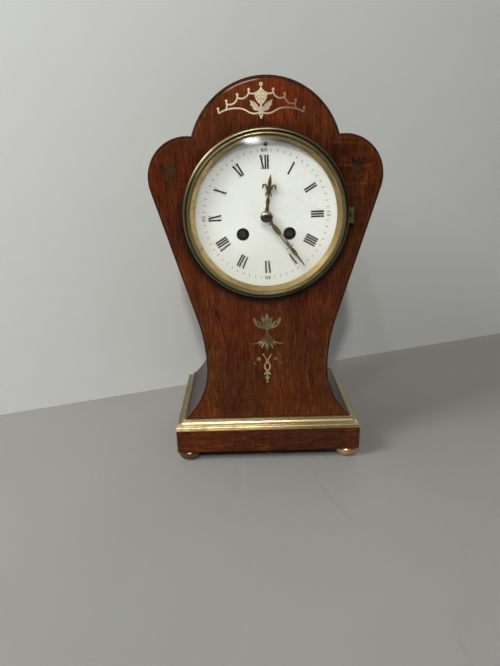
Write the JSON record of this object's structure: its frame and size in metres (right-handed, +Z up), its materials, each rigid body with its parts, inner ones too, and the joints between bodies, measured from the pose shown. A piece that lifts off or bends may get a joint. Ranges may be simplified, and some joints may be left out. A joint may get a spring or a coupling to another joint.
{
  "type": "balloon mantel clock",
  "caption": "Waisted balloon-shaped mantel clock with inlaid wooden case, hinged round bezel and glass, enamel dial and a spring-driven striking movement with pendulum.",
  "frame": {"origin": "middle of the clock in plan, on the surface that the feet stand on", "axes": "+Z up, +X to the right of someone facing the dial, +Y from the dial towards the back"},
  "size_m": [0.192, 0.138, 0.3355],
  "materials": {
    "mahogany": "polished",
    "carcase_wood": "bare",
    "dark_banding": "polished",
    "light_stringing": "polished",
    "inlay_brass": "flush, lightly worn",
    "patinated_brass": "dark patina",
    "case_brass": "polished and lacquered",
    "gilt_brass": "gilt",
    "movement_brass": "satin",
    "bell_metal": "satin",
    "steel": "polished",
    "spring_steel": "blued",
    "enamel": "gloss",
    "glass": "clear"
  },
  "bodies": {
    "case": {"front_board": "carcase_wood", "front_veneer": "mahogany", "edge_banding": "dark_banding", "edge_stringing": "light_stringing", "crest_inlay": "inlay_brass", "shoulder_inlays": "patinated_brass", "pendant_inlay": "inlay_brass", "left_side": "mahogany", "right_side": "mahogany", "top_arch": "mahogany", "floor_board": "carcase_wood", "back_board": "mahogany", "plinth": "mahogany", "plinth_moulding": "case_brass", "bun_feet": "case_brass", "seat_ring": "case_brass", "hinge_pins": "steel", "dial": "enamel", "front_plate": "movement_brass", "back_plate": "movement_brass", "plate_pillars": "movement_brass", "clicks": "steel", "back_cock": "movement_brass", "bell_stand": "steel", "bell": "bell_metal", "straps": "steel", "strap_screws": "steel", "back_ring": "case_brass"},
    "bezel": {"bezel": "case_brass", "bezel_glass": "glass", "glass_slip": "gilt_brass"},
    "back_door": {"back_door": "case_brass"},
    "minute_hand": {"minute_hand": "gilt_brass", "cannon_pinion": "movement_brass", "hand_boss": "steel"},
    "minute_wheel": {"minute_wheel": "movement_brass"},
    "hour_hand": {"hour_hand": "gilt_brass", "hour_wheel": "movement_brass"},
    "going_barrel": {"going_barrel": "movement_brass", "going_mainspring": "spring_steel"},
    "going_winding_arbor": {"going_winding_arbor": "steel"},
    "intermediate_wheel": {"intermediate_wheel": "movement_brass"},
    "centre_wheel": {"centre_wheel": "movement_brass"},
    "third_wheel": {"third_wheel": "movement_brass"},
    "escape_wheel": {"escape_wheel": "movement_brass"},
    "pallets": {"pallets": "steel"},
    "pendulum": {"suspension_spring": "spring_steel", "pendulum_rod": "steel", "pendulum_bob": "movement_brass"},
    "strike_barrel": {"strike_barrel": "movement_brass", "strike_mainspring": "spring_steel"},
    "strike_winding_arbor": {"strike_winding_arbor": "steel"},
    "strike_second_wheel": {"strike_second_wheel": "movement_brass", "count_wheel": "movement_brass"},
    "pin_wheel": {"pin_wheel": "movement_brass"},
    "stop_wheel": {"stop_wheel": "movement_brass"},
    "warning_wheel": {"warning_wheel": "movement_brass"},
    "fly": {"fly": "steel"},
    "hammer": {"hammer": "steel"},
    "regulator": {"regulator_arbor": "steel"}
  },
  "joints": [
    {"name": "bezel_hinge", "type": "hinge", "parent": "case", "child": "bezel", "pos_m": [0.0716, -0.0562, 0.2293], "axis": [0, 0, 1], "range_deg": [0, 110]},
    {"name": "back_door_hinge", "type": "hinge", "parent": "case", "child": "back_door", "pos_m": [-0.0604, 0.0634, 0.2293], "axis": [0, 0, 1], "range_deg": [0, 110]},
    {"name": "hand_setting", "type": "hinge", "parent": "case", "child": "minute_hand", "pos_m": [0, 0, 0.2293], "axis": [0, 1, 0], "continuous": true},
    {"name": "minute_wheel_turn", "type": "hinge", "parent": "case", "child": "minute_wheel", "pos_m": [0.006, 0, 0.23969], "axis": [0, 1, 0], "continuous": true},
    {"name": "hour_hand_turn", "type": "hinge", "parent": "case", "child": "hour_hand", "pos_m": [0, 0, 0.2293], "axis": [0, 1, 0], "continuous": true},
    {"name": "going_train", "type": "hinge", "parent": "case", "child": "third_wheel", "pos_m": [-0.0078, 0, 0.24126], "axis": [0, 1, 0], "continuous": true},
    {"name": "centre_wheel_turn", "type": "hinge", "parent": "case", "child": "centre_wheel", "pos_m": [0, 0, 0.2293], "axis": [0, 1, 0], "continuous": true},
    {"name": "intermediate_wheel_turn", "type": "hinge", "parent": "case", "child": "intermediate_wheel", "pos_m": [0.01512, 0, 0.23511], "axis": [0, 1, 0], "continuous": true},
    {"name": "going_barrel_turn", "type": "hinge", "parent": "case", "child": "going_barrel", "pos_m": [0.01965, 0, 0.2146], "axis": [0, 1, 0], "continuous": true},
    {"name": "escape_wheel_turn", "type": "hinge", "parent": "case", "child": "escape_wheel", "pos_m": [0, 0, 0.2508], "axis": [0, 1, 0], "continuous": true},
    {"name": "going_winding", "type": "hinge", "parent": "case", "child": "going_winding_arbor", "pos_m": [0.01965, 0, 0.2146], "axis": [0, 1, 0], "continuous": true},
    {"name": "strike_train", "type": "hinge", "parent": "case", "child": "stop_wheel", "pos_m": [-0.01665, 0, 0.25617], "axis": [0, 1, 0], "continuous": true},
    {"name": "pin_wheel_turn", "type": "hinge", "parent": "case", "child": "pin_wheel", "pos_m": [-0.02408, 0, 0.24847], "axis": [0, 1, 0], "continuous": true},
    {"name": "strike_second_turn", "type": "hinge", "parent": "case", "child": "strike_second_wheel", "pos_m": [-0.02683, 0, 0.23433], "axis": [0, 1, 0], "continuous": true},
    {"name": "strike_barrel_turn", "type": "hinge", "parent": "case", "child": "strike_barrel", "pos_m": [-0.01965, 0, 0.2146], "axis": [0, 1, 0], "continuous": true},
    {"name": "warning_wheel_turn", "type": "hinge", "parent": "case", "child": "warning_wheel", "pos_m": [-0.01244, 0, 0.26345], "axis": [0, 1, 0], "continuous": true},
    {"name": "fly_turn", "type": "hinge", "parent": "case", "child": "fly", "pos_m": [-0.01792, 0, 0.26758], "axis": [0, 1, 0], "continuous": true},
    {"name": "strike_winding", "type": "hinge", "parent": "case", "child": "strike_winding_arbor", "pos_m": [-0.01965, 0, 0.2146], "axis": [0, 1, 0], "continuous": true},
    {"name": "pendulum_swing", "type": "hinge", "parent": "case", "child": "pendulum", "pos_m": [0, 0, 0.2648], "axis": [0, 1, 0], "range_deg": [-4, 4]},
    {"name": "pallet_rock", "type": "hinge", "parent": "case", "child": "pallets", "pos_m": [0, 0, 0.2648], "axis": [0, 1, 0], "range_deg": [-4, 4]},
    {"name": "hammer_swing", "type": "hinge", "parent": "case", "child": "hammer", "pos_m": [-0.039, 0, 0.2473], "axis": [0, 1, 0], "range_deg": [0, 20], "stiffness_Nm_per_rad": 0.006, "springref_deg": -28.65},
    {"name": "regulator_turn", "type": "hinge", "parent": "case", "child": "regulator", "pos_m": [0, 0, 0.2856], "axis": [0, 1, 0], "range_deg": [-720, 720]}
  ],
  "couplings": [
    {"joint": "minute_wheel_turn", "follows": "hand_setting", "ratio": -0.33333},
    {"joint": "hour_hand_turn", "follows": "hand_setting", "ratio": 0.083333},
    {"joint": "centre_wheel_turn", "follows": "going_train", "ratio": -0.090909},
    {"joint": "intermediate_wheel_turn", "follows": "going_train", "ratio": 0.011364},
    {"joint": "going_barrel_turn", "follows": "going_train", "ratio": -0.0018939},
    {"joint": "escape_wheel_turn", "follows": "going_train", "ratio": -10},
    {"joint": "pin_wheel_turn", "follows": "strike_train", "ratio": -0.125},
    {"joint": "strike_second_turn", "follows": "strike_train", "ratio": 0.013889},
    {"joint": "strike_barrel_turn", "follows": "strike_train", "ratio": -0.0023148},
    {"joint": "warning_wheel_turn", "follows": "strike_train", "ratio": -7},
    {"joint": "fly_turn", "follows": "strike_train", "ratio": 42},
    {"joint": "pallet_rock", "follows": "pendulum_swing", "ratio": 1}
  ]
}
